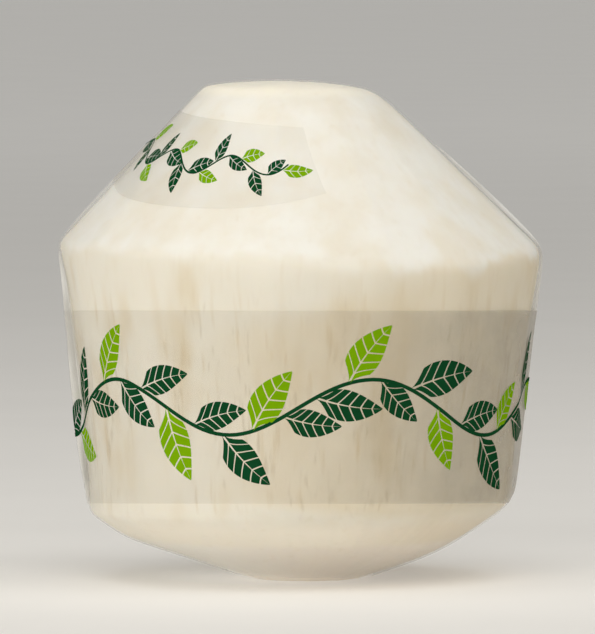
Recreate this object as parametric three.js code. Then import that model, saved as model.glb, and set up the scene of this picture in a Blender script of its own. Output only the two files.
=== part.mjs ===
// Trimmed young coconut in a clear shrink film with two printed labels.
// Millimetres, +Z up, front towards -Y. The husk stands on its flat spot at z = 0.
import * as THREE from "three";

const DEG = Math.PI / 180;

// Every surface is a distance measured outwards from this point on the axis.
const HEART_Z = 62;
const SEGMENTS = 48;

// Husk: a cone cut above the shoulder, a tapering body, a bevelled heel, a shallow cone below, a domed crown.
const SHOULDER_R = 64.5;
const SHOULDER_Z = 89.2;
const CONE_INSET = 0.3;
const CONE_ANGLE = 44.25;
const CONE_LEAN = 1.95;
const BODY_ANGLE = -6.65;
const BODY_SIDE = 0.4;
const BODY_FORWARD = 0.8;
const BODY_SWELL = 1.3;
const BODY_SWELL_RIGHT = 3.6;
const BODY_HOLLOW = 1.1;
const HEEL_R = 56.1;
const HEEL_Z = 19.2;
const BEVEL_ANGLE = -54.7;
const BEVEL_SIDE = -1.7;
const BASE_R = 46.7;
const BASE_Z = 10.8;
const BASE_ANGLE = -71.9;
const BASE_SIDE = 1.9;
const CROWN_RADIUS = 142;
const CROWN_TOP = 133.4;
const CROWN_X = -6.1;
const EDGE_SOFTNESS_LEFT = 0.5;
const EDGE_SOFTNESS_RIGHT = 1.3;
const EDGE_SOFTNESS_FRONT = 0.9;
const FLAT_SPOT_R = 12;

// Knife strokes round the axis, and how far the flats between them show.
const CONE_STROKES = 13;
const BODY_STROKES = 17;
const BEVEL_STROKES = 14;
const BASE_STROKES = 11;
const STROKE_SHARE = 0.3;
const GOLDEN_STEP = 0.618034;

// Film: a thin shell round the husk, closed over the crown and open under the base.
const FILM_GAP = 0.2;
const FILM_THICK = 0.35;
const FOLDS = [
  { at: 180, rise: 1.5, low: 20, high: 88 },
  { at: 0, rise: 1.0, low: 22, high: 86 },
  { at: 180, rise: 0.35, low: 92, high: 120 },
  { at: 0, rise: 0.8, low: 88, high: 114 },
];

// Labels: thin sheets over the film.
const LABEL_GAP = 0.38;
const LABEL_THICK = 0.25;
const BAND_LOW = 19.9;
const BAND_HIGH = 71.8;
const BAND_ARCH_LOW = 4.1;
const BAND_ARCH_HIGH = 3.3;
const BAND_ROWS = [0, 0.03, 0.06, 0.1, 0.16, 0.25, 0.4, 0.55, 0.7, 0.85, 1];
const PATCH_LEFT = -97.5;
const PATCH_RIGHT_TOP = 2;
const PATCH_RIGHT_LOW = 8.3;
const PATCH_TOP_FRONT = 122;
const PATCH_TOP_LEFT = 126.4;
const PATCH_LOW = 101.2;
const PATCH_LOW_AT = -25;
const PATCH_BOW_LEFT = { reach: 65, rise: 6.2 };
const PATCH_BOW_RIGHT = { reach: 33, rise: 4 };
const PATCH_COLUMNS = 14;
const PATCH_ROWS = 3;

// Rows of vertices, as angles in degrees up from straight down.
const FLAT_SPOT_ANGLE = Math.atan2(FLAT_SPOT_R, HEART_Z) / DEG;
const FILM_ROWS = [
  18, 24, 30, 36, 39.5, 42, 44.5, 48, 51, 53, 55.5, 59, 64, 72, 82, 92, 102,
  108.5, 111.5, 113, 114.5, 118, 126, 138, 149, 155, 158, 160, 162, 166, 172,
];
const HUSK_ROWS = [FLAT_SPOT_ANGLE, 14, ...FILM_ROWS];

// Direction angles of one family of knife strokes, evenly spread with a small fixed stagger.
function strokeAngles(count, family) {
  const angles = [];
  for (let i = 0; i < count; i += 1) {
    const stagger = (((i + 1) * GOLDEN_STEP * family) % 1) - 0.5;
    angles.push(((i + 0.5 * stagger) * 2 * Math.PI) / count);
  }
  return angles;
}

// Distance to a ring of slanted cuts that pass through the point (r, z) of the outline. Where the body
// swells, in front and most to the right, it tapers more, so that the heel stays in place.
function ringCut(direction, cut) {
  const reach = (azimuth, turn) => {
    const frontness = Math.max(0, -Math.sin(azimuth));
    const swell = cut.swells * frontness * (BODY_SWELL + BODY_SWELL_RIGHT * Math.cos(azimuth));
    const slant = (cut.angle + cut.lean * Math.cos(azimuth)) * DEG - swell / (SHOULDER_Z - HEEL_Z);
    const radius = cut.r + cut.side * Math.cos(azimuth) - cut.forward * Math.sin(azimuth) + swell;
    const depth = Math.cos(slant) * radius + Math.sin(slant) * (cut.z - HEART_Z);
    const facing = Math.cos(slant) * Math.cos(turn) * direction.rho + Math.sin(slant) * direction.zeta;
    return facing > 1e-3 ? depth / facing : 1e4;
  };
  const turned = reach(direction.theta, 0);
  let flat = 1e4;
  for (const azimuth of cut.strokes) {
    flat = Math.min(flat, reach(azimuth, direction.theta - azimuth));
  }
  return turned + STROKE_SHARE * (flat - turned);
}

// Distance to the shallow dome of the crown.
function crownCut(direction) {
  const centre = HEART_Z - (CROWN_TOP - CROWN_RADIUS);
  const half = centre * direction.zeta - CROWN_X * direction.rho * Math.cos(direction.theta);
  const rest = half * half - (centre * centre + CROWN_X * CROWN_X - CROWN_RADIUS * CROWN_RADIUS);
  return Math.sqrt(Math.max(rest, 0)) - half;
}

const CONE = {
  r: SHOULDER_R - CONE_INSET, z: SHOULDER_Z, angle: CONE_ANGLE, lean: CONE_LEAN,
  side: 0, forward: 0, swells: 0, strokes: strokeAngles(CONE_STROKES, 1),
};
const BODY = {
  r: SHOULDER_R, z: SHOULDER_Z, angle: BODY_ANGLE, lean: 0,
  side: BODY_SIDE, forward: BODY_FORWARD, swells: 1, strokes: strokeAngles(BODY_STROKES, 2),
};
const BEVEL = {
  r: HEEL_R, z: HEEL_Z, angle: BEVEL_ANGLE, lean: 0,
  side: BEVEL_SIDE, forward: 0, swells: 0, strokes: strokeAngles(BEVEL_STROKES, 3),
};
const BASE = {
  r: BASE_R, z: BASE_Z, angle: BASE_ANGLE, lean: 0,
  side: BASE_SIDE, forward: 0, swells: 0, strokes: strokeAngles(BASE_STROKES, 4),
};

// Distance from the heart point to the husk: the nearest of all cuts, with crisp edges on the left, softer
// ones on the right and the softest in front.
function huskDistance(direction) {
  const rightness = 0.5 + 0.5 * Math.cos(direction.theta);
  const frontness = Math.max(0, -Math.sin(direction.theta)) ** 4;
  const across = EDGE_SOFTNESS_LEFT + (EDGE_SOFTNESS_RIGHT - EDGE_SOFTNESS_LEFT) * rightness;
  const softness = across + EDGE_SOFTNESS_FRONT * frontness;
  const cuts = [
    ringCut(direction, CONE),
    ringCut(direction, BODY),
    ringCut(direction, BEVEL),
    ringCut(direction, BASE),
    crownCut(direction),
  ];
  const nearest = Math.min(...cuts);
  let sum = 0;
  for (const cut of cuts) {
    sum += Math.exp((nearest - cut) / softness);
  }
  const distance = nearest - softness * Math.log(sum);
  const z = HEART_Z + distance * direction.zeta;
  return distance - BODY_HOLLOW * arch(z, HEEL_Z, SHOULDER_Z);
}

// One hump between two heights, 0 at both ends and 1 in the middle.
function arch(z, low, high) {
  const share = (z - low) / (high - low);
  return share > 0 && share < 1 ? 4 * share * (1 - share) : 0;
}

// How far the film stands off along its two side folds: tangent flats that meet in a ridge.
function foldLift(theta, z) {
  let lift = 0;
  for (const fold of FOLDS) {
    const away = Math.abs(Math.atan2(Math.sin(theta - fold.at * DEG), Math.cos(theta - fold.at * DEG)));
    const rise = fold.rise * Math.sqrt(arch(z, fold.low, fold.high));
    const spread = Math.acos(SHOULDER_R / (SHOULDER_R + rise));
    if (away < spread) {
      lift = Math.max(lift, SHOULDER_R / Math.cos(spread - away) - SHOULDER_R);
    }
  }
  return lift;
}

function directionAt(theta, angle) {
  return { theta, rho: Math.sin(angle), zeta: -Math.cos(angle) };
}

function pointAlong(direction, distance) {
  return new THREE.Vector3(
    distance * direction.rho * Math.cos(direction.theta),
    distance * direction.rho * Math.sin(direction.theta),
    HEART_Z + distance * direction.zeta,
  );
}

// Point on the husk; the rows of the flat spot lie exactly on z = 0.
function huskPoint(theta, angle) {
  const direction = directionAt(theta, angle);
  if (angle <= (FLAT_SPOT_ANGLE + 0.01) * DEG) {
    const foot = pointAlong(direction, HEART_Z / Math.cos(angle));
    foot.z = 0;
    return foot;
  }
  const point = pointAlong(direction, huskDistance(direction));
  point.z = Math.max(point.z, 0);
  return point;
}

// Point of a skin that follows the husk at a given lift, with the side folds.
function skinPoint(theta, angle, lift) {
  const direction = directionAt(theta, angle);
  const distance = huskDistance(direction);
  const z = HEART_Z + distance * direction.zeta;
  return pointAlong(direction, distance + lift + foldLift(theta, z));
}

// Point of a skin at a wanted height: the direction is corrected until the height fits.
function skinPointAtHeight(theta, height, lift) {
  let angle = Math.PI / 2 + Math.atan2(height - HEART_Z, SHOULDER_R);
  for (let pass = 0; pass < 8; pass += 1) {
    const point = skinPoint(theta, angle, lift);
    angle += Math.atan2(height - point.z, Math.hypot(point.x, point.y));
  }
  return skinPoint(theta, angle, lift);
}

function moveVertices(geometry, place) {
  const position = geometry.getAttribute("position");
  for (let i = 0; i < position.count; i += 1) {
    const moved = place(new THREE.Vector3().fromBufferAttribute(position, i));
    position.setXYZ(i, moved.x, moved.y, moved.z);
  }
  geometry.computeVertexNormals();
  return geometry;
}

// Lathe vertices turned to +Z up, so the angle round the axis can be read from x and y.
function latheUpright(profile) {
  const geometry = new THREE.LatheGeometry(profile, SEGMENTS);
  geometry.rotateX(Math.PI / 2);
  return geometry;
}

function makeHusk() {
  const profile = [new THREE.Vector2(0, -1)];
  for (const row of HUSK_ROWS) {
    profile.push(new THREE.Vector2(Math.sin(row * DEG), -Math.cos(row * DEG)));
  }
  profile.push(new THREE.Vector2(0, 1));
  return moveVertices(latheUpright(profile), (v) => {
    const round = Math.hypot(v.x, v.y);
    return huskPoint(Math.atan2(v.y, v.x), Math.atan2(round, -v.z));
  });
}

// The outer layer is drawn at radius 2 and the inner one at radius 1, so the length tells them apart.
function makeFilm() {
  const profile = [];
  for (const row of FILM_ROWS) {
    profile.push(new THREE.Vector2(2 * Math.sin(row * DEG), -2 * Math.cos(row * DEG)));
  }
  profile.push(new THREE.Vector2(0, 2), new THREE.Vector2(0, 1));
  for (const row of [...FILM_ROWS].reverse()) {
    profile.push(new THREE.Vector2(Math.sin(row * DEG), -Math.cos(row * DEG)));
  }
  profile.push(profile[0].clone());
  return moveVertices(latheUpright(profile), (v) => {
    const lift = v.length() > 1.5 ? FILM_GAP + FILM_THICK : FILM_GAP;
    return skinPoint(Math.atan2(v.y, v.x), Math.atan2(Math.hypot(v.x, v.y), -v.z), lift);
  });
}

function labelLift(outer) {
  return FILM_GAP + FILM_THICK + LABEL_GAP + (outer ? LABEL_THICK : 0);
}

// The band's edges are straight on the flat film, so they arch over the front and the back of the fruit.
function makeBand() {
  const profile = [];
  for (const share of BAND_ROWS) {
    profile.push(new THREE.Vector2(2, share));
  }
  for (const share of [...BAND_ROWS].reverse()) {
    profile.push(new THREE.Vector2(1, share));
  }
  profile.push(profile[0].clone());
  return moveVertices(latheUpright(profile), (v) => {
    const theta = Math.atan2(v.y, v.x);
    const arched = Math.abs(Math.sin(theta)) * (BAND_ARCH_LOW + v.z * (BAND_ARCH_HIGH - BAND_ARCH_LOW));
    const height = BAND_LOW + v.z * (BAND_HIGH - BAND_LOW) + arched;
    return skinPointAtHeight(theta, height, labelLift(Math.hypot(v.x, v.y) > 1.5));
  });
}

// The shoulder label: azimuths count from the front, plus to the right. Its lower edge bows up both ways.
function makePatch() {
  const sheet = new THREE.BoxGeometry(1, 1, 1, PATCH_COLUMNS, PATCH_ROWS, 1);
  return moveVertices(sheet, (v) => {
    const along = v.x + 0.5;
    const up = v.y + 0.5;
    const right = PATCH_RIGHT_LOW + up * (PATCH_RIGHT_TOP - PATCH_RIGHT_LOW);
    const azimuth = PATCH_LEFT + along * (right - PATCH_LEFT);
    const top = PATCH_TOP_FRONT + (PATCH_TOP_LEFT - PATCH_TOP_FRONT) * (1 - along);
    const bow = azimuth > PATCH_LOW_AT ? PATCH_BOW_RIGHT : PATCH_BOW_LEFT;
    const low = PATCH_LOW + bow.rise * ((azimuth - PATCH_LOW_AT) / bow.reach) ** 2;
    return skinPointAtHeight((azimuth - 90) * DEG, low + up * (top - low), labelLift(v.z > 0));
  });
}

function addMesh(group, name, geometry, finish) {
  const mesh = new THREE.Mesh(geometry, new THREE.MeshStandardMaterial(finish));
  mesh.name = name;
  group.add(mesh);
}

const CLEAR = { transparent: true, opacity: 0.2 };
const HALF_CLEAR = { transparent: true, opacity: 0.45 };
const part = new THREE.Group();
part.name = "trimmed_coconut";
addMesh(part, "coconut", makeHusk(), { color: 0xe6dcc6, roughness: 0.75 });
addMesh(part, "wrap_film", makeFilm(), { color: 0xf4f4f0, roughness: 0.15, ...CLEAR });
addMesh(part, "band_label", makeBand(), { color: 0xc9c4b6, roughness: 0.3, ...HALF_CLEAR });
addMesh(part, "shoulder_label", makePatch(), { color: 0xd9d8ce, roughness: 0.3, ...HALF_CLEAR });

export default part;
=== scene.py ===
# %% [markdown]
# # A trimmed young coconut in clear film
# The green skin of a young coconut is cut away with a knife until only the creamy husk is left. A film
# is shrunk over it, and the film carries a translucent printed band and a small printed panel. The
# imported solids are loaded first, because they fix where everything is: what is made below is their fine
# surface.

# %% Load the solids
import math

import bpy
import numpy as np
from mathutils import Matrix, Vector


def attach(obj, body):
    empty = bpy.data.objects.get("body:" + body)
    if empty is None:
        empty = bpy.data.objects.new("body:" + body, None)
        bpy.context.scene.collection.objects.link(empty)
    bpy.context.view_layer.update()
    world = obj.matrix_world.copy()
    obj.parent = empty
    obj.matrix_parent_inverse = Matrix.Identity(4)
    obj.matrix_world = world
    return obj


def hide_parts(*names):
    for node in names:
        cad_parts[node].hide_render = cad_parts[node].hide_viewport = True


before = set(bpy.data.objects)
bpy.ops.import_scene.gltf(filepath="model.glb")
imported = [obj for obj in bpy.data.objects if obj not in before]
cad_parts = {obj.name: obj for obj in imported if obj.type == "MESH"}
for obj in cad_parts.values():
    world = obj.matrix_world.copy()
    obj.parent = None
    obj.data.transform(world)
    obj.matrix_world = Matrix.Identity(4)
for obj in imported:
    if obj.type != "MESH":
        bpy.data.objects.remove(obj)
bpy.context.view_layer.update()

MM = 0.001
print("solids:", sorted(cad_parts))

# %% [markdown]
# ## Camera
# The photograph was taken from a little above the middle of the fruit and from far away: both slopes
# look straight and the far rim of the crown barely shows. A short lens close by would bend the slopes,
# so a long lens far back is used. The aim is moved a few millimetres, so that the fruit lands where it
# stands in the picture.

# %% Camera
PHOTO_HIGH = 634
PIXELS_PER_MM = 3.723
SENSOR_WIDTH = 36
VIEW_DISTANCE = 2500 * MM
VIEW_ELEVATION = math.radians(3)
aim = Vector((-0.5 * MM, 0, 70.07 * MM))
to_camera = Vector((0, -math.cos(VIEW_ELEVATION), math.sin(VIEW_ELEVATION)))
camera = bpy.data.objects.new("camera", bpy.data.cameras.new("camera"))
bpy.context.scene.collection.objects.link(camera)
camera.location = aim + VIEW_DISTANCE * to_camera
camera.rotation_euler = (-to_camera).to_track_quat("-Z", "Y").to_euler()
camera.data.sensor_width = SENSOR_WIDTH
camera.data.lens = SENSOR_WIDTH * VIEW_DISTANCE / (PHOTO_HIGH / PIXELS_PER_MM * MM)
camera.data.clip_end = 100
bpy.context.scene.camera = camera
print("lens", round(camera.data.lens, 1), "mm")

# %% [markdown]
# ## Studio
# The fruit stands in even studio air. Large soft lamps are used, because small ones would leave hard
# spots on the film: one high in front makes the cone nearly white, one above lights the crown, two from
# the left let the right flank fall off, and one high on the right keeps that side of the cone light. The
# plain view transform keeps the colours as they are set. Places and sizes are in metres.

# %% Studio
def linear(hex_colour):
    levels = [int(hex_colour[i:i + 2], 16) / 255 for i in (1, 3, 5)]
    return tuple(c / 12.92 if c <= 0.04045 else ((c + 0.055) / 1.055) ** 2.4 for c in levels) + (1.0,)


bpy.context.scene.view_settings.view_transform = "Standard"
world = bpy.data.worlds.new("studio_air")
world.use_nodes = True
air = world.node_tree.nodes["Background"]
air.inputs["Color"].default_value = linear("#f4f3f0")
air.inputs["Strength"].default_value = 0.4
bpy.context.scene.world = world
LAMP_COLOUR = linear("#fffcf7")[:3]
LAMP_AIM = Vector((0, 0, 66 * MM))
LAMPS = [
    dict(name="front_high", place=(0.0, -1.5, 1.5), size=(1.6, 1.2), watts=10.3),
    dict(name="above", place=(0.0, -0.2, 1.8), size=(1.4, 1.4), watts=6.9),
    dict(name="front_left", place=(-1.2, -1.8, 0.45), size=(1.6, 0.9), watts=13.5),
    dict(name="left", place=(-1.8, -0.4, 0.5), size=(1.0, 1.0), watts=4.0),
    dict(name="right_high", place=(1.2, -0.4, 1.5), size=(1.2, 1.2), watts=6.5),
]
for lamp in LAMPS:
    light = bpy.data.lights.new(lamp["name"], "AREA")
    light.shape = "RECTANGLE"
    light.size, light.size_y = lamp["size"]
    light.energy = lamp["watts"]
    light.color = LAMP_COLOUR
    holder = bpy.data.objects.new(lamp["name"], light)
    holder.location = lamp["place"]
    holder.rotation_euler = (Vector(lamp["place"]) - LAMP_AIM).to_track_quat("Z", "Y").to_euler()
    bpy.context.scene.collection.objects.link(holder)
print("studio lamps:", len(LAMPS))

# %% [markdown]
# ## Adding nodes and meshes
# Every finish below is a small node tree, and every surface is a sheet or a closed skin of points. Both
# could be clicked together by hand; in code, one function adds a node with its settings and links and
# hands back one of its outputs, and another turns points into a mesh, with a number per point where a
# finish needs one.

# %% Helpers for nodes and meshes
def new_finish(name):
    finish = bpy.data.materials.new(name)
    finish.use_nodes = True
    finish.node_tree.nodes.clear()
    return finish


def add(finish, kind, out=0, settings=None, **inputs):
    node = finish.node_tree.nodes.new("ShaderNode" + kind)
    for key, value in (settings or {}).items():
        setattr(node, key, value)
    for key, value in inputs.items():
        socket = node.inputs[int(key[1:]) if key[1:].isdigit() else key.replace("_", " ")]
        if isinstance(value, bpy.types.NodeSocket):
            finish.node_tree.links.new(value, socket)
        else:
            socket.default_value = value
    return node.outputs[out] if node.outputs else None


def add_piece(name, points_mm, faces, finish, smooth=True, **numbers):
    mesh = bpy.data.meshes.new(name)
    mesh.from_pydata((np.asarray(points_mm) * MM).tolist(), [], faces)
    mesh.materials.append(finish)
    mesh.polygons.foreach_set("use_smooth", [smooth] * len(mesh.polygons))
    for key, values in numbers.items():
        attribute = mesh.attributes.new(key, "FLOAT", "POINT")
        attribute.data.foreach_set("value", np.asarray(values, float).ravel())
    mesh.update()
    piece = bpy.data.objects.new(name, mesh)
    bpy.context.scene.collection.objects.link(piece)
    return piece


def sheet_faces(rows, columns, closed, first=0):
    faces = []
    for r in range(rows - 1):
        for c in range(columns if closed else columns - 1):
            d = (c + 1) % columns
            low, high = first + r * columns, first + (r + 1) * columns
            faces.append((low + c, low + d, high + d, high + c))
    return faces


print("faces of a small closed sheet:", len(sheet_faces(3, 8, True)))

# %% [markdown]
# ## Floor: sanded opal acrylic with a painted glow
# The floor is opal acrylic, sanded so that it has no mirror image, with faint clouds about 70 mm wide in
# its tone. It carries a painted glow: it emits light in a pool under the fruit, which lifts the bevel and
# the base, and again from half a metre away, which keeps the ground pale. A lamp under a clear floor
# would do the same, but a little emission that changes with the distance is simpler and leaves no noise.
# Each glow has its start and its end in millimetres, and its strength at both.

# %% Floor with painted glow
glowing_floor = new_finish("sanded_opal_acrylic_floor_with_painted_glow")
TINT = {"data_type": "RGBA"}
SMOOTH = {"interpolation_type": "SMOOTHSTEP"}
ADD = {"operation": "ADD"}
FLOOR_R = 30000
FLOOR_SIDES = 96
CLOUDS_ACROSS = 900.0
# Painted glow: the floor emits light in a pool under the fruit and in a ring far out.
GLOWS = [(10, 50, 0.14, 0.0), (30, 200, 0.134, 0.0), (500, 4000, 0.0, 0.15)]
cloudy = add(glowing_floor, "TexNoise", Scale=CLOUDS_ACROSS, Detail=2.0)
opal = add(glowing_floor, "Mix", 2, TINT, i0=cloudy, i6=linear("#eae8e4"), i7=linear("#eeece8"))
spot = add(glowing_floor, "TexCoord", "Object")
from_foot = add(glowing_floor, "VectorMath", 1, {"operation": "LENGTH"}, i0=spot)
glow = 0.0
for start, end, inner, outer in GLOWS:
    ring = add(glowing_floor, "MapRange", 0, SMOOTH, i0=from_foot, i1=start * MM, i2=end * MM, i3=inner,
               i4=outer)
    glow = add(glowing_floor, "Math", 0, ADD, i0=ring, i1=glow)
sanded = add(glowing_floor, "BsdfPrincipled", Base_Color=opal, Roughness=0.8, Emission_Color=opal,
             Emission_Strength=glow)
add(glowing_floor, "OutputMaterial", Surface=sanded)
corners = np.linspace(0, 2 * math.pi, FLOOR_SIDES + 1)[:-1]
rim = [(FLOOR_R * math.cos(a), FLOOR_R * math.sin(a), 0) for a in corners]
floor = add_piece("studio_floor", rim, [tuple(range(FLOOR_SIDES))], glowing_floor, smooth=False)
print("floor", 2 * FLOOR_R * MM, "m across")

# %% [markdown]
# ## The shape that the knife leaves
# A trimmer turns the fruit and takes flat strokes: one ring of strokes makes the cone, one the body, one
# the bevel at the heel and one the shallow base; the crown is a shallow dome. A turned profile would
# lose the flats, so each stroke is a plane, and the husk is what all planes leave over. Seen from a
# point inside, that is simply the nearest cut in each direction. Only a share of each flat is kept,
# because the facets are soft. The body's ring swells towards the right front and shrinks a little at the
# left front. The measures are those of the solids, in millimetres and degrees.

# %% Knife cuts
HEART_Z = 62
SHOULDER_R, SHOULDER_Z = 64.5, 89.2
HEEL_R, HEEL_Z = 56.1, 19.2
CROWN_TOP, CROWN_RADIUS, CROWN_X = 133.4, 142, -6.1
BODY_SWELL, BODY_SWELL_RIGHT = 1.3, 3.6
STROKE_SHARE = 0.3
GOLDEN_STEP = 0.618034
FAR_AWAY = 1e4
RINGS = [
    dict(r=SHOULDER_R - 0.3, z=SHOULDER_Z, angle=44.25, lean=1.95, side=0, forward=0, swells=0, strokes=13),
    dict(r=SHOULDER_R, z=SHOULDER_Z, angle=-6.65, lean=0, side=0.4, forward=0.8, swells=1, strokes=17),
    dict(r=HEEL_R, z=HEEL_Z, angle=-54.7, lean=0, side=-1.7, forward=0, swells=0, strokes=14),
    dict(r=46.7, z=10.8, angle=-71.9, lean=0, side=1.9, forward=0, swells=0, strokes=11),
]


def ring_cut(theta, rho, zeta, ring):
    def reach(azimuth, turn):
        frontness = np.maximum(0, -np.sin(azimuth))
        swell = ring["swells"] * frontness * (BODY_SWELL + BODY_SWELL_RIGHT * np.cos(azimuth))
        slant = np.radians(ring["angle"] + ring["lean"] * np.cos(azimuth)) - swell / (SHOULDER_Z - HEEL_Z)
        radius = ring["r"] + ring["side"] * np.cos(azimuth) - ring["forward"] * np.sin(azimuth) + swell
        depth = np.cos(slant) * radius + np.sin(slant) * (ring["z"] - HEART_Z)
        facing = np.cos(slant) * np.cos(turn) * rho + np.sin(slant) * zeta
        return np.where(facing > 1e-3, depth / np.maximum(facing, 1e-3), FAR_AWAY)

    turned = reach(theta, 0.0)
    flat = np.full_like(turned, FAR_AWAY)
    for i in range(ring["strokes"]):
        stagger = ((i + 1) * GOLDEN_STEP * (RINGS.index(ring) + 1)) % 1 - 0.5
        azimuth = (i + 0.5 * stagger) * 2 * math.pi / ring["strokes"]
        flat = np.minimum(flat, reach(azimuth, theta - azimuth))
    return turned + STROKE_SHARE * (flat - turned)


def crown_cut(theta, rho, zeta):
    centre = HEART_Z - (CROWN_TOP - CROWN_RADIUS)
    half = centre * zeta - CROWN_X * rho * np.cos(theta)
    rest = half ** 2 - (centre ** 2 + CROWN_X ** 2 - CROWN_RADIUS ** 2)
    return np.sqrt(np.maximum(rest, 0)) - half


print("knife strokes", sum(ring["strokes"] for ring in RINGS))

# %% [markdown]
# ## Soft edges between the cuts
# A fibrous husk has no razor edges, so where two cuts meet their nearness is blended over a millimetre
# or so, more at the right and in front than at the left. A bevel modifier could round the edges too, but
# a blend of distances also works for the film and the labels, which follow the same form. The body is
# hollowed a little between shoulder and heel, as a knife that is pulled through fibres bends inwards.

# %% Form of the husk
EDGE_LEFT, EDGE_RIGHT, EDGE_FRONT = 0.5, 1.3, 0.9
BODY_HOLLOW = 1.1


def arch(z, low, high):
    share = np.clip((z - low) / (high - low), 0, 1)
    return 4 * share * (1 - share)


def husk_distance(theta, angle):
    rho, zeta = np.sin(angle), -np.cos(angle)
    cuts = [ring_cut(theta, rho, zeta, ring) for ring in RINGS]
    cuts.append(crown_cut(theta, rho, zeta))
    nearest = np.min(cuts, axis=0)
    softness = EDGE_LEFT + (EDGE_RIGHT - EDGE_LEFT) * (0.5 + 0.5 * np.cos(theta))
    softness = softness + EDGE_FRONT * np.maximum(0, -np.sin(theta)) ** 4
    total = sum(np.exp((nearest - cut) / softness) for cut in cuts)
    distance = nearest - softness * np.log(total)
    return distance - BODY_HOLLOW * arch(HEART_Z + distance * zeta, HEEL_Z, SHOULDER_Z)


def along(theta, angle, distance):
    return np.stack([distance * np.sin(angle) * np.cos(theta), distance * np.sin(angle) * np.sin(theta),
                     HEART_Z - distance * np.cos(angle)], axis=-1)


girth = husk_distance(np.array([0.0, math.pi]), np.full(2, math.pi / 2))
print("husk width at mid height", girth.sum().round(1), "mm")

# %% [markdown]
# ## The husk's own relief
# Fibres run lengthwise through the husk. Where the knife slides along them it leaves shallow furrows,
# and it digs in a little at each stroke. A displacement texture could do this, but it would need a far
# finer mesh; instead soft noise, stretched along the fibres, moves the points in and out by a few tenths
# of a millimetre at most. The noise table comes from a seeded generator, so every run gives the same
# fruit.

# %% Relief
DENTS = dict(cells=16, tall=16, seed=5, depth=0.5)
FURROWS = [dict(cells=192, tall=22, seed=3, depth=0.16), dict(cells=128, tall=9, seed=4, depth=0.10)]
NOISE_ROWS = 64


def soft_noise(turn, cells, v, seed):
    table = np.random.default_rng(seed).random((cells, NOISE_ROWS))
    u = turn * cells
    iu, iv = np.floor(u).astype(int), np.floor(v).astype(int)
    fu, fv = u - iu, v - iv
    fu, fv = fu * fu * (3 - 2 * fu), fv * fv * (3 - 2 * fv)
    left, right = iu % cells, (iu + 1) % cells
    below, above = iv % NOISE_ROWS, (iv + 1) % NOISE_ROWS
    a = table[left, below] * (1 - fu) + table[right, below] * fu
    b = table[left, above] * (1 - fu) + table[right, above] * fu
    return a * (1 - fv) + b * fv - 0.5


def relief(turn, height, cells, tall, seed, depth):
    return soft_noise(turn, cells, height / tall, seed) * depth


def dented(theta, angle):
    distance = husk_distance(theta, angle)
    height = HEART_Z - distance * np.cos(angle)
    dents = relief(theta / (2 * math.pi), height, **DENTS)
    return distance + dents * np.sqrt(np.sin(angle)), height


print("dents", DENTS["depth"] / 2, "mm each way")

# %% [markdown]
# ## The husk's skin of points
# The husk is one closed skin. A grid in turn and height would leave hardly any rows on the flat crown
# and base, so the rows are spaced evenly along the profile instead, and a point closes the skin at each
# end. The furrows are fainter on the cone. The fruit rests on a small flat spot, which is pressed flat
# at the floor.

# %% Husk points
HUSK_ROWS, HUSK_COLUMNS = 200, 384
FLAT_SPOT_R = 12
CONE_FURROW_SHARE = 0.35
meridian = np.linspace(0, math.pi, 4001)
side_line = along(np.zeros_like(meridian), meridian, husk_distance(np.zeros_like(meridian), meridian))
travel = np.concatenate([[0], np.cumsum(np.linalg.norm(np.diff(side_line, axis=0), axis=1))])
row_angles = np.interp(np.linspace(0, travel[-1], HUSK_ROWS + 2)[1:-1], travel, meridian)
theta, angle = np.meshgrid(np.linspace(0, 2 * math.pi, HUSK_COLUMNS + 1)[:-1], row_angles)
distance, height = dented(theta, angle)
furrows = sum(relief(theta / (2 * math.pi), height, **layer) for layer in FURROWS)
furrows = furrows * np.where(height > SHOULDER_Z, CONE_FURROW_SHARE, 1.0)
husk = along(theta, angle, distance + furrows * np.sqrt(np.sin(angle)))
on_spot = (np.hypot(husk[..., 0], husk[..., 1]) < FLAT_SPOT_R) & (angle < math.pi / 2)
husk[..., 2] = np.where(on_spot, 0, np.maximum(husk[..., 2], 0))
crown_tip = float(HEART_Z + husk_distance(np.zeros(1), np.full(1, math.pi))[0])
husk_points = np.concatenate([husk.reshape(-1, 3), [[0, 0, 0], [0, 0, crown_tip]]])
husk_faces = sheet_faces(HUSK_ROWS, HUSK_COLUMNS, True)
foot = HUSK_ROWS * HUSK_COLUMNS
for c in range(HUSK_COLUMNS):
    d = (c + 1) % HUSK_COLUMNS
    husk_faces.append((foot, d, c))
    husk_faces.append((foot + 1, foot - HUSK_COLUMNS + c, foot - HUSK_COLUMNS + d))
print("husk faces", len(husk_faces), "furrow depth", furrows.std().round(3), "mm")

# %% [markdown]
# ## Finish: fresh-cut coconut husk, its grain
# Cut husk is a pale, moist mat of fibres that run up and down. A flat texture would have to be wrapped
# round the fruit, so the grain is solid noise instead, drawn out along the height: on the upright body
# it shows as streaks, on the slanted cone as faint mottling, and on the crown and the base as fibre
# ends. Fibres are 0.3 to 0.6 mm thick, too fine to show here, so flecks and streaks are drawn three to
# five times as coarse, as bundles 1.4 and 2.4 mm wide. Each grain has its width and its height in
# millimetres, and its detail.

# %% Grain of the husk
husk_cut = new_finish("fresh_cut_coconut_husk")
GRAINS = dict(mottle=(14, 20, 3.0), patch=(13, 34, 2.0), streak=(2.4, 38, 2.0), fleck=(1.4, 8, 1.0),
              cluster=(16, 26, 1.0))
GRAIN_SHIFT = 3.7
place = add(husk_cut, "TexCoord", "Object")
up = add(husk_cut, "SeparateXYZ", "Z", Vector=place)
sideways = add(husk_cut, "SeparateXYZ", "X", Vector=place)
grain = {}
for name, (wide, tall, detail) in GRAINS.items():
    spread = (1 / (wide * MM), 1 / (wide * MM), 1 / (tall * MM))
    shifted = add(husk_cut, "Mapping", Vector=place, Scale=spread, Location=(GRAIN_SHIFT * len(grain),) * 3)
    grain[name] = add(husk_cut, "TexNoise", Vector=shifted, Scale=1.0, Detail=detail)
print("grains", list(grain))

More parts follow.
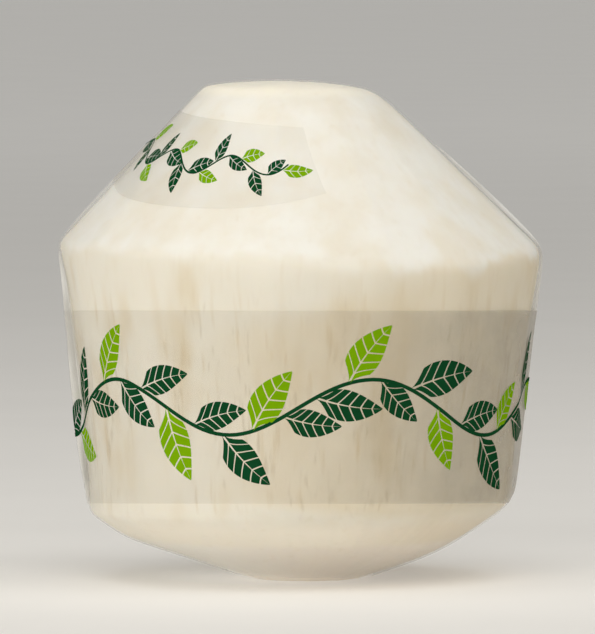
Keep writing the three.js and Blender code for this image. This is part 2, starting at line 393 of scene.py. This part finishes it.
# %% [markdown]
# ## Where each cut begins
# The knife goes deepest at the cone, so the husk is whitest there and warmer on the body, close under
# the skin. The step between them wavers along the shoulder: it falls from left to right, climbs again at
# the right corner, and is a little ragged. Painted masks would need a picture; a smooth ramp over the
# height, in millimetres, is enough for each border.

# %% Zones of the husk
MULTIPLY = {"operation": "MULTIPLY"}
MULTIPLY_ADD = {"operation": "MULTIPLY_ADD"}
BORDERS = dict(crown=(129, 132), above_heel=(15, 22), under_heel=(22, 15), base=(12.5, 10),
               below_edge=(84, 66), off_bevel=(18, 26))
DRIFTS = [(-35, 35, -2.5, 2.5), (46, 60, 0, -4.5)]
RAGGED_MM = 16
STEP_TOP, STEP_END = 97.2, 92.6
zone = {}
for name, (start, end) in BORDERS.items():
    zone[name] = add(husk_cut, "MapRange", 0, SMOOTH, i0=up, i1=start * MM, i2=end * MM)
level = up
for start, end, lift_start, lift_end in DRIFTS:
    drift = add(husk_cut, "MapRange", 0, SMOOTH, i0=sideways, i1=start * MM, i2=end * MM,
                i3=lift_start * MM, i4=lift_end * MM)
    level = add(husk_cut, "Math", 0, ADD, i0=level, i1=drift)
ragged = add(husk_cut, "Math", 0, MULTIPLY_ADD, i0=grain["patch"], i1=RAGGED_MM * MM, i2=level)
under_shoulder = add(husk_cut, "MapRange", 0, SMOOTH, i0=ragged, i1=STEP_TOP * MM, i2=STEP_END * MM)
on_body = add(husk_cut, "Math", 0, MULTIPLY, i0=under_shoulder, i1=zone["above_heel"])
low_body = add(husk_cut, "Math", 0, MULTIPLY, i0=zone["below_edge"], i1=zone["off_bevel"])
print("zones", list(zone))

# %% [markdown]
# ## Tones of the cuts
# Each cut has its own tone, from nearly white on the cone to cream on the body. The bevel and the base,
# which face down, are painted lighter than the body: painted light. The right side of the body, the bevel
# and the base is a shade warmer and darker than the left: painted shade on the side away from the lamps,
# and low on the body this painted shade reaches further left. One colour ramp over the height could hold
# all tones, but it couldn't change from side to side, so the tones are laid over each other, one zone at a
# time.

# %% Tones of the husk
BODY_SHARE = 0.8
whiteness = add(husk_cut, "MapRange", 0, SMOOTH, i0=grain["mottle"], i1=0.35, i2=0.7)
colour = add(husk_cut, "Mix", 2, TINT, i0=whiteness, i6=linear("#f0eee6"), i7=linear("#eae4d5"))
# Painted light and shade: the bevel and the base are lighter than the body, and the bevel, base and body
# are darker and warmer towards the right, away from the lamps.
bevel_right_shade = add(husk_cut, "MapRange", 0, SMOOTH, i0=sideways, i1=0.0, i2=50 * MM)
bevel_painted_light_and_shade = add(husk_cut, "Mix", 2, TINT, i0=bevel_right_shade, i6=linear("#f7f0e1"), i7=linear("#eadec8"))
base_right_shade = add(husk_cut, "MapRange", 0, SMOOTH, i0=sideways, i1=-30 * MM, i2=10 * MM)
base_painted_light_and_shade = add(husk_cut, "Mix", 2, TINT, i0=base_right_shade, i6=linear("#f7f3ea"), i7=linear("#f0e7da"))
widened = add(husk_cut, "Math", 0, MULTIPLY_ADD, i0=low_body, i1=42 * MM, i2=sideways)
body_right_shade = add(husk_cut, "MapRange", 0, SMOOTH, i0=widened, i1=10 * MM, i2=42 * MM)
body_tone_and_painted_shade = add(husk_cut, "Mix", 2, TINT, i0=body_right_shade, i6=linear("#e8e2d2"), i7=linear("#e4d8be"))
warm = add(husk_cut, "Math", 0, MULTIPLY, i0=on_body, i1=BODY_SHARE)
tones = [(zone["crown"], linear("#fcf6e6")), (zone["under_heel"], bevel_painted_light_and_shade), (zone["base"], base_painted_light_and_shade),
         (warm, body_tone_and_painted_shade)]
for share, tone in tones:
    colour = add(husk_cut, "Mix", 2, TINT, i0=share, i6=colour, i7=tone)
print("tones laid over the cone's", len(tones))

# %% [markdown]
# ## Patches, fibres and flecks
# Tan patches show where a little of the layer under the skin is left, streaks where bundles of fibres
# lie bare, and flecks where they were torn, mostly low on the body. The same streaks lift the surface a
# little as bump, because they are too fine for the mesh. A moist cut has an uneven sheen and lets some
# light in.

# %% Fibres of the husk
patchy = add(husk_cut, "MapRange", 0, SMOOTH, i0=grain["patch"], i1=0.48, i2=0.75, i4=0.6)
patches = add(husk_cut, "Math", 0, MULTIPLY, i0=patchy, i1=on_body)
bundles = add(husk_cut, "MapRange", 0, SMOOTH, i0=grain["streak"], i1=0.55, i2=0.8)
fibre_share = add(husk_cut, "MapRange", i0=low_body, i3=0.1, i4=0.46)
fibres = add(husk_cut, "Math", 0, MULTIPLY, i0=bundles, i1=fibre_share)
torn = add(husk_cut, "MapRange", 0, SMOOTH, i0=grain["fleck"], i1=0.54, i2=0.8)
clusters = add(husk_cut, "MapRange", 0, SMOOTH, i0=grain["cluster"], i1=0.42, i2=0.6)
clustered = add(husk_cut, "Math", 0, MULTIPLY, i0=torn, i1=clusters)
fleck_share = add(husk_cut, "MapRange", i0=low_body, i3=0.03, i4=0.3)
flecks = add(husk_cut, "Math", 0, MULTIPLY, i0=clustered, i1=fleck_share)
for share, tone in ((patches, "#d9c7a3"), (fibres, "#cdb78d"), (flecks, "#a8936c")):
    colour = add(husk_cut, "Mix", 2, TINT, i0=share, i6=colour, i7=linear(tone))
ridges = add(husk_cut, "Bump", Height=grain["streak"], Strength=0.22, Distance=0.3 * MM)
damp = add(husk_cut, "MapRange", 0, SMOOTH, i0=grain["mottle"], i1=0.3, i2=0.7, i3=0.52, i4=0.68)
flesh = add(husk_cut, "BsdfPrincipled", Base_Color=colour, Roughness=damp, Normal=ridges, IOR=1.45,
            Specular_IOR_Level=0.3, Subsurface_Weight=0.12, Subsurface_Scale=3 * MM,
            Subsurface_Radius=(1.0, 0.7, 0.4))
add(husk_cut, "OutputMaterial", Surface=flesh)
coconut = add_piece("husk", husk_points, husk_faces, husk_cut)
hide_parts("coconut")
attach(coconut, "root")
print("husk points", len(husk_points))

# %% [markdown]
# ## Folds of the shrink film
# A flat bag of film is pulled over the fruit and shrunk with hot air. It clings everywhere except along
# the two edges where the flat bag was folded: there it runs straight off the husk and meets in a ridge,
# with a few fine wrinkles on both sides of it. A cloth simulation could shrink the bag, but it would not
# put the folds where they are, so tangent flats and thin ridges are added to the husk's form. Each fold
# has its angle, its rise, its lowest and highest point in millimetres, and how milky the film is there;
# each wrinkle has its place in degrees from the fold and its height in millimetres.

# %% Folds and wrinkles
FOLDS = [
    dict(at=180, rise=1.5, low=20, high=88, milk=0.7),
    dict(at=180, rise=2.1, low=24, high=70, milk=0.7),
    dict(at=0, rise=1.4, low=22, high=90, milk=0.45),
    dict(at=180, rise=0.6, low=92, high=120, milk=0.5),
    dict(at=0, rise=0.9, low=88, high=116, milk=0.95),
]
WRINKLES = [(-12.0, 0.14), (-8.5, 0.18), (8.0, 0.18), (11.5, 0.14)]
WRINKLE_SPREAD = 0.4
WAVE_SWING, WAVE_MM = 0.8, 9


def from_fold(fold, theta):
    off = theta - math.radians(fold["at"])
    return np.arctan2(np.sin(off), np.cos(off))


def fold_rise(fold, theta, z):
    rise = fold["rise"] * np.sqrt(arch(z, fold["low"], fold["high"]))
    spread = np.arccos(SHOULDER_R / (SHOULDER_R + rise))
    return SHOULDER_R / np.cos(np.maximum(spread - np.abs(from_fold(fold, theta)), 0)) - SHOULDER_R


def wrinkles(theta, z):
    height = np.zeros_like(theta)
    for fold in FOLDS:
        away = np.degrees(from_fold(fold, theta))
        pull = np.sqrt(arch(z, fold["low"], fold["high"]))
        for line, tall in WRINKLES:
            course = line * (0.5 + 0.5 * pull) + WAVE_SWING * np.sin(z / WAVE_MM + line)
            height = np.maximum(height, tall * pull * np.exp(-(((away - course) / WRINKLE_SPREAD) ** 2)))
    return height


print("wrinkles beside each fold", len(WRINKLES))

# %% [markdown]
# ## The film's skin
# Film is so thin that a single skin is the right model: a shell with two faces would only cost points.
# It follows the husk half a millimetre off, closes over the crown and is gathered into puckers where it
# turns in under the base. Its columns stand close together at the folds, where the form is sharp. A
# number per point says how much the film is whitened by stretching.

# %% Film surface
FILM_LIFT = 0.5
FILM_ROWS = 170
HEM_ANGLE, TOP_ANGLE = 18, 179.6
FINE_STEP, COARSE_STEP = 0.36, 1.2
PUCKER_CELLS, PUCKER_DEPTH, PUCKER_MM, PUCKER_LOWEST = 64, 0.8, 7, -0.1
PUCKER_SEED, STRETCH_SEED = 21, 31
STRETCH_CELLS, STRETCH_MM, STRETCH_SWING = 64, 8, 0.9
CREASE_POWER, RIPPLE_MILK, PUCKER_MILK = 0.4, 1.2, 0.25


def skin(theta, angle, lift):
    distance, z = dented(theta, angle)
    fold_lift = np.max([fold_rise(fold, theta, z) for fold in FOLDS], axis=0)
    return along(theta, angle, distance + lift + fold_lift)


even = np.arange(16.5, 163.6, COARSE_STEP)
near_fold = np.arange(-16.2, 16.3, FINE_STEP)
film_columns = np.radians(np.concatenate([near_fold, even, near_fold + 180, even + 180]))
low_hem, high_hem = np.interp(np.radians([HEM_ANGLE, TOP_ANGLE]), meridian, travel)
film_travel = np.linspace(low_hem, high_hem, FILM_ROWS)
theta, angle = np.meshgrid(film_columns, np.interp(film_travel, travel, meridian))
turn = theta / (2 * math.pi)
under = np.exp(-(film_travel - low_hem) / PUCKER_MM)[:, None]
gathers = soft_noise(turn, PUCKER_CELLS, np.full_like(turn, 2.5), PUCKER_SEED) * PUCKER_DEPTH
pucker = np.maximum(gathers * under, PUCKER_LOWEST)
height = dented(theta, angle)[1]
ripple = wrinkles(theta, height)
film_skin = skin(theta, angle, FILM_LIFT + pucker + ripple)
film_points = np.concatenate([film_skin.reshape(-1, 3), [film_skin[-1].mean(axis=0)]])
film_faces = sheet_faces(FILM_ROWS, len(film_columns), True)
last_row = (FILM_ROWS - 1) * len(film_columns)
for c in range(len(film_columns)):
    film_faces.append((last_row + c, last_row + (c + 1) % len(film_columns), len(film_points) - 1))
creases = [fold["milk"] * (fold_rise(fold, theta, height) / fold["rise"]) ** CREASE_POWER for fold in FOLDS]
blotches = 1 + STRETCH_SWING * soft_noise(turn, STRETCH_CELLS, height / STRETCH_MM, STRETCH_SEED)
stretched = np.max(creases, axis=0) * blotches
whitened = np.append(stretched + RIPPLE_MILK * ripple + PUCKER_MILK * np.maximum(pucker, 0), 0)
print("film columns", len(film_columns), "lowest hem", film_skin[0, :, 2].min().round(2), "mm")

# %% [markdown]
# ## Finish: heat-shrunk clear film
# Polyolefin film about 0.03 to 0.05 mm thick, smooth from the blowing and drawn tight by heat. It hides
# almost nothing face on; it mirrors more and more towards the outline, and turns a little milky where it
# is stretched over a fold. Glass would bend the light twice, so the film is a clear shader with a share
# of mirror and of milk. The mirror share is eased, because heat leaves the skin slightly uneven.

# %% Finish of the film
film_clear = new_finish("heat_shrunk_clear_film")
MIRROR_SHARE = 0.2
see = add(film_clear, "BsdfTransparent")
mirror = add(film_clear, "BsdfGlossy", Roughness=0.3)
grazing = add(film_clear, "Fresnel", IOR=1.48)
eased = add(film_clear, "Math", 0, MULTIPLY, i0=grazing, i1=MIRROR_SHARE)
shiny = add(film_clear, "MixShader", i0=eased, i1=see, i2=mirror)
milk = add(film_clear, "BsdfPrincipled", Base_Color=linear("#f4f3ee"), Roughness=0.3)
edge_on = add(film_clear, "LayerWeight", "Facing", Blend=0.25)
haze = add(film_clear, "MapRange", 0, SMOOTH, i0=edge_on, i1=0.3, i2=1.0, i3=0.015, i4=0.14)
folded = add(film_clear, "Attribute", "Fac", {"attribute_name": "whitened"})
milky = add(film_clear, "Math", 0, {"operation": "ADD", "use_clamp": True}, i0=haze, i1=folded)
film_look = add(film_clear, "MixShader", i0=milky, i1=shiny, i2=milk)
add(film_clear, "OutputMaterial", Surface=film_look)
film = add_piece("shrink_film", film_points, film_faces, film_clear, whitened=whitened)
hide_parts("wrap_film")
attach(film, "root")
print("film faces", len(film.data.polygons))

# %% [markdown]
# ## Printed band and shoulder panel
# Both prints are grey, half clear areas with clean edges. Each is a sheet of points that follows the
# film 0.15 mm above it; a tint in the film's own finish would do too, but its edges would be as coarse
# as the film's points. The bag was printed flat, so the band's straight edges arch a little over the
# front and the back of the round fruit; the panel on the cone has a bowed lower edge and runs on round
# the left side.

# %% Places on the labels
BAND_LOW, BAND_HIGH = 19.9, 71.8
ARCH_LOW, ARCH_HIGH = 4.1, 3.3
PANEL_LEFT, PANEL_RIGHT_LOW, PANEL_RIGHT_TOP = -97.5, 8.3, 2
PANEL_TOP, PANEL_TOP_RISE = 122, 4.4
PANEL_LOW, PANEL_LOW_AT = 101.2, -25
BOW_LEFT, BOW_RIGHT = dict(reach=65, rise=6.2), dict(reach=33, rise=4)


def skin_at_height(theta, height, lift):
    angle = math.pi / 2 + np.arctan2(height - HEART_Z, SHOULDER_R)
    for _ in range(8):
        point = skin(theta, angle, lift)
        angle = angle + np.arctan2(height - point[..., 2], np.hypot(point[..., 0], point[..., 1]))
    return skin(theta, angle, lift)


def on_band(azimuth, share, lift):
    theta = azimuth - math.pi / 2
    arched = np.abs(np.sin(theta)) * (ARCH_LOW + share * (ARCH_HIGH - ARCH_LOW))
    return skin_at_height(theta, BAND_LOW + share * (BAND_HIGH - BAND_LOW) + arched, lift)


def on_panel(along_share, up_share, lift):
    right = PANEL_RIGHT_LOW + up_share * (PANEL_RIGHT_TOP - PANEL_RIGHT_LOW)
    azimuth = PANEL_LEFT + along_share * (right - PANEL_LEFT)
    top = PANEL_TOP + PANEL_TOP_RISE * (1 - along_share)
    reach = np.where(azimuth > PANEL_LOW_AT, BOW_RIGHT["reach"], BOW_LEFT["reach"])
    rise = np.where(azimuth > PANEL_LOW_AT, BOW_RIGHT["rise"], BOW_LEFT["rise"])
    low = PANEL_LOW + rise * ((azimuth - PANEL_LOW_AT) / reach) ** 2
    return skin_at_height(np.radians(azimuth - 90), low + up_share * (top - low), lift)


print("band height", round(BAND_HIGH - BAND_LOW, 1), "mm")

# %% [markdown]
# ## Sheets of the labels
# The band goes round in one closed sheet and the panel is an open one. The band is printed denser
# towards the right of the fruit and the panel towards the left. A gradient in the finish would have to
# know where each label sits, so each point carries a number for the ink's cover instead.

# %% Label sheets
LABEL_LIFT = 0.65
BAND_ROWS, BAND_COLUMNS = 41, 360
PANEL_ROWS, PANEL_COLUMNS = 25, 121
DENSEST_AT = math.radians(115)
BAND_COVER, BAND_COVER_MORE = 0.115, 0.29
PANEL_COVER, PANEL_COVER_MORE = 0.05, 0.16
band_turn = np.linspace(0, 2 * math.pi, BAND_COLUMNS + 1)[:-1]
azimuth, share = np.meshgrid(band_turn, np.linspace(0, 1, BAND_ROWS))
band_points = on_band(azimuth, share, LABEL_LIFT)
denser = np.clip((np.cos(azimuth - DENSEST_AT) + 0.6) / 1.3, 0, 1)
band_cover = BAND_COVER + BAND_COVER_MORE * denser ** 2 * (3 - 2 * denser)
along_share, up_share = np.meshgrid(np.linspace(0, 1, PANEL_COLUMNS), np.linspace(0, 1, PANEL_ROWS))
panel_points = on_panel(along_share, up_share, LABEL_LIFT)
panel_cover = PANEL_COVER + PANEL_COVER_MORE * (1 - along_share) ** 1.5
print("band ink cover", band_cover.min().round(2), "to", band_cover.max().round(2))

# %% [markdown]
# ## Finish: grey tint printed on film
# A thin coat of half clear grey ink, rolled on by a flexographic press: it dims what lies under it and
# takes a soft gloss from the film. Rolled ink is never quite even, which a cloudy noise of about 9 mm
# gives. A plain grey glass would darken by depth, so a mix of clear and grey by the ink's cover is used.

# %% Finish of the labels
tinted = new_finish("grey_tint_printed_on_film")
CLOUD_MM = 9
bare = add(tinted, "BsdfTransparent")
grey = add(tinted, "BsdfPrincipled", Base_Color=linear("#aca597"), Roughness=0.35)
where = add(tinted, "TexCoord", "Object")
cloud = add(tinted, "TexNoise", Vector=where, Scale=1 / (CLOUD_MM * MM), Detail=2.0)
uneven = add(tinted, "MapRange", 0, SMOOTH, i0=cloud, i1=0.3, i2=0.7, i3=0.9, i4=1.1)
strength = add(tinted, "Attribute", "Fac", {"attribute_name": "ink_cover"})
cover = add(tinted, "Math", 0, MULTIPLY, i0=strength, i1=uneven)
tint_look = add(tinted, "MixShader", i0=cover, i1=bare, i2=grey)
add(tinted, "OutputMaterial", Surface=tint_look)
band_faces = sheet_faces(BAND_ROWS, BAND_COLUMNS, True)
panel_faces = sheet_faces(PANEL_ROWS, PANEL_COLUMNS, False)
band = add_piece("printed_band", band_points.reshape(-1, 3), band_faces, tinted, ink_cover=band_cover)
panel = add_piece("printed_panel", panel_points.reshape(-1, 3), panel_faces, tinted, ink_cover=panel_cover)
for piece, node, slot in ((band, "band_label", "printed_band"), (panel, "shoulder_label", "printed_patch")):
    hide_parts(node)
    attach(piece, "root")
print("label faces", len(band.data.polygons), len(panel.data.polygons))

# %% [markdown]
# ## A printed leaf
# The print is a plain leaf garland. A leaf could be one outline with its veins drawn over it, but then
# the veins would need a colour of their own. It is drawn as slanted cells between its veins, so that the
# veins are simply left bare and the husk shows through, as in a print of one colour. Small leaves have
# fewer veins.

# %% Drawing a leaf
VEIN, MIDRIB = 0.011, 0.015
VEIN_SLANT = 0.24
WIDEST_LOW, ROUNDNESS = 0.8, 0.9
MANY_VEINS, FEW_VEINS, SMALL_LEAF = 6, 4, 10


def leaf_cells(x, y, heading, length, wide, bend):
    cells = []
    veins = MANY_VEINS if length > SMALL_LEAF else FEW_VEINS
    for side in (1, -1):
        for k in range(veins):
            first, last = k / veins + VEIN, (k + 1) / veins - VEIN
            across, t = np.meshgrid(np.linspace(0, 1, 6), np.linspace(first, last, 4))
            t = np.clip(t + VEIN_SLANT * across * (1 - t), 0, 1)
            half = 0.5 * wide * np.sin(math.pi * t ** WIDEST_LOW) ** ROUNDNESS
            gap = MIDRIB * length * (1 - t)
            out = side * (gap + across * np.maximum(half - gap, 0))
            course = heading + bend * t
            px = x + length * t * np.cos(heading + bend * t / 2) - out * np.sin(course)
            py = y + length * t * np.sin(heading + bend * t / 2) + out * np.cos(course)
            cells.append((np.stack([px, py], axis=-1), side))
    return cells


def flat_sheet(parts):
    points, faces = [], []
    for grid, side in parts:
        rows, columns = grid.shape[:2]
        for face in sheet_faces(rows, columns, False, sum(len(p) for p in points)):
            faces.append(face if side > 0 else face[::-1])
        points.append(grid.reshape(-1, 2))
    return np.concatenate(points), faces


print("cells of one leaf", len(leaf_cells(0, 0, 0, 18, 8, 0)))

# %% [markdown]
# ## Leaf garlands
# A stem swings up and down along the label, with leaves on both sides in turn, every third one lime.
# Leaves placed one by one on the round fruit would each need their own turn, so the garland is drawn
# flat, in millimetres along and across the label, and then wrapped onto it, as a printed sleeve is. A
# leaf that would come too near the label's edge is drawn smaller.

# %% Drawing the garlands
STEM_SHARE = 0.028
SIZE_SPREAD = 0.14
LEAF_ANGLE, LEAF_WIDTH, LEAF_BEND = 0.85, 0.46, -0.35
SHRINK = 0.94


def garland(length, height, waves, swing, leaves, leaf_mm, margin):
    inks = {"dark": [], "lime": []}
    x = np.linspace(0, length, 40 * waves + 1)
    y = height / 2 + swing * np.sin(2 * math.pi * waves * x / length)
    slope = np.arctan(np.gradient(y, x))
    off_x, off_y = STEM_SHARE * leaf_mm * np.sin(slope), -STEM_SHARE * leaf_mm * np.cos(slope)
    stem = np.stack([np.stack([x + s * off_x, y + s * off_y], axis=-1) for s in (1, -1)])
    inks["dark"].append((stem, 1))
    for i in range(leaves):
        at = (i + 0.5) * length / leaves
        root_y, course = np.interp(at, x, y), np.interp(at, x, slope)
        side = 1 if i % 2 else -1
        size = leaf_mm * (1 + SIZE_SPREAD * math.sin(2.4 * i))
        while True:
            heading = course + side * LEAF_ANGLE
            cells = leaf_cells(at, root_y, heading, size, LEAF_WIDTH * size, side * LEAF_BEND)
            reach = np.concatenate([c[0][..., 1].ravel() for c in cells])
            if reach.min() > margin and reach.max() < height - margin:
                break
            size *= SHRINK
        inks["lime" if i % 3 == 1 else "dark"] += cells
    return inks


BAND_R = 62
PANEL_LENGTH, PANEL_HEIGHT, PANEL_MARGIN = 80.0, 21.0, 7.0
band_inks = garland(2 * math.pi * BAND_R, BAND_HIGH - BAND_LOW, waves=5, swing=7.5, leaves=45,
                    leaf_mm=18.5, margin=3.0)
panel_inks = garland(PANEL_LENGTH - 2 * PANEL_MARGIN, PANEL_HEIGHT, waves=3, swing=2.4, leaves=17,
                     leaf_mm=7.5, margin=2.5)
print("leaf cells", {ink: len(parts) for ink, parts in band_inks.items()})

# %% [markdown]
# ## Finish: green printing inks
# Two opaque flexographic inks, a deep leaf green and a fresh lime, that dry matt. The roller leaves them
# slightly uneven, which noise of about 6 mm gives. A picture would need an image file, so each ink is a
# thin piece of its own, 0.2 mm above the tinted sheet. Real ink has next to no thickness, so it casts no
# shadow on the husk.

# %% Leaf print in ink
INK_LIFT = 0.85
ROLLER_MM = 6
INKS = dict(dark=("#0d3a1e", "#134829"), lime=("#6c9a05", "#7aa80c"))
for ink, (deep, fresh) in INKS.items():
    printed = new_finish(ink + "_green_flexographic_ink")
    where = add(printed, "TexCoord", "Object")
    roller = add(printed, "TexNoise", Vector=where, Scale=1 / (ROLLER_MM * MM), Detail=3.0)
    tone = add(printed, "Mix", 2, TINT, i0=roller, i6=linear(deep), i7=linear(fresh))
    coat = add(printed, "BsdfPrincipled", Base_Color=tone, Roughness=0.45, Specular_IOR_Level=0.0)
    add(printed, "OutputMaterial", Surface=coat)
    flat, faces = flat_sheet(band_inks[ink])
    points = on_band(flat[:, 0] / BAND_R, flat[:, 1] / (BAND_HIGH - BAND_LOW), INK_LIFT)
    band_print = add_piece("band_leaves_" + ink, points, faces, printed)
    flat, faces = flat_sheet(panel_inks[ink])
    points = on_panel((flat[:, 0] + PANEL_MARGIN) / PANEL_LENGTH, flat[:, 1] / PANEL_HEIGHT, INK_LIFT)
    panel_print = add_piece("panel_leaves_" + ink, points, faces, printed)
    for piece, slot in ((band_print, "printed_band"), (panel_print, "printed_patch")):
        piece.visible_shadow = False
        piece.visible_diffuse = False
        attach(piece, "root")
    print(ink, "ink faces", len(band_print.data.polygons), len(panel_print.data.polygons))

# %% [markdown]
# ## End
# The leaf print is the last thing that is made.

# %% End
print("end of the build")
